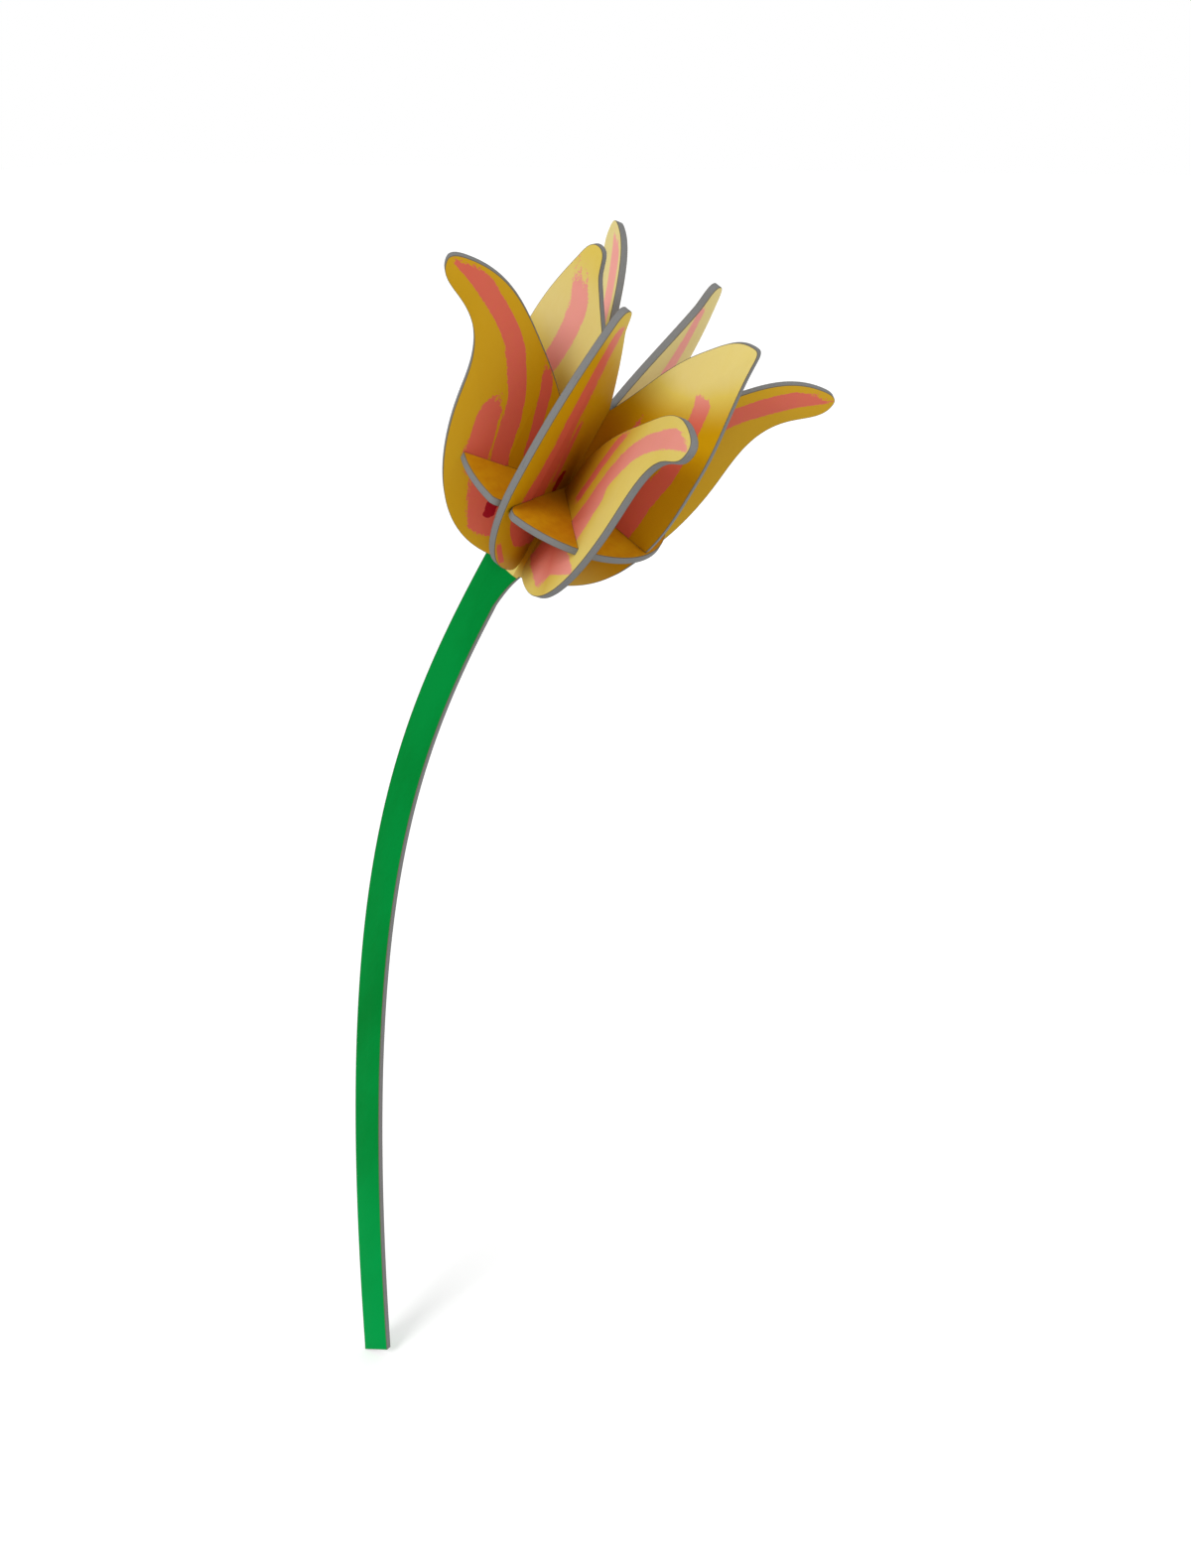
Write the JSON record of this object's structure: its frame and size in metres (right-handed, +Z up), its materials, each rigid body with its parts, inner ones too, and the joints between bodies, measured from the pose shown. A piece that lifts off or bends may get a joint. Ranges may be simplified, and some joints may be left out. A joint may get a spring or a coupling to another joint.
{
  "type": "cardboard tulip model",
  "caption": "Tulip ornament of flat printed boards: upright and outward-curled petals slotted into a round disc on a curved one-piece stem board, to stand in a vase or holder.",
  "frame": {"origin": "middle of the slanted cut across the foot of the stem, in the middle of the board's thickness", "axes": "+Z up along the foot of the stem, +X the way the flower leans, +Y square to the stem board, away from the viewer of the picture"},
  "size_m": [0.143, 0.0782, 0.3542],
  "materials": {
    "stem_print": "matte printed paper on grey board",
    "disc_print": "matte printed paper on grey board",
    "petal_print": "matte printed paper on grey board"
  },
  "bodies": {
    "root": {"stem_board": "stem_print", "locking_disc": "disc_print", "upright_petal_front": "petal_print", "upright_petal_back": "petal_print", "curled_petal_front_left": "petal_print", "curled_petal_front_right": "petal_print", "curled_petal_back_right": "petal_print", "curled_petal_back_left": "petal_print"}
  },
  "joints": []
}
